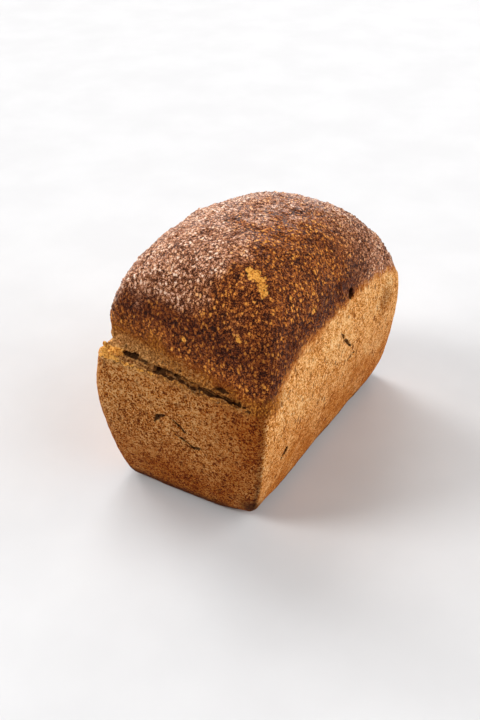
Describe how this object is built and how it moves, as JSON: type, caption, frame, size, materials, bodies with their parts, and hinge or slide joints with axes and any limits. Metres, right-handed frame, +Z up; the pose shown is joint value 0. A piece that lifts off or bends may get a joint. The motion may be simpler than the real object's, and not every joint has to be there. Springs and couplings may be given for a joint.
{
  "type": "spelt bread loaf",
  "caption": "Whole, uncut spelt loaf baked in a tin: tapered tan walls, a high domed dark brown crown, and a ragged tear along one end where the crown burst out of the rim.",
  "frame": {"origin": "centre of the loaf's bounding box in plan, on the flat base that it stands on", "axes": "+X along the loaf, away from its torn end; +Y across it; +Z up from the base to the crown"},
  "size_m": [0.1714, 0.103, 0.1388],
  "materials": {
    "crust": "baked crust: dark brown, wrinkled and slightly glossy on the crown, tan and matte on the walls"
  },
  "bodies": {
    "root": {"loaf": "crust"}
  },
  "joints": []
}
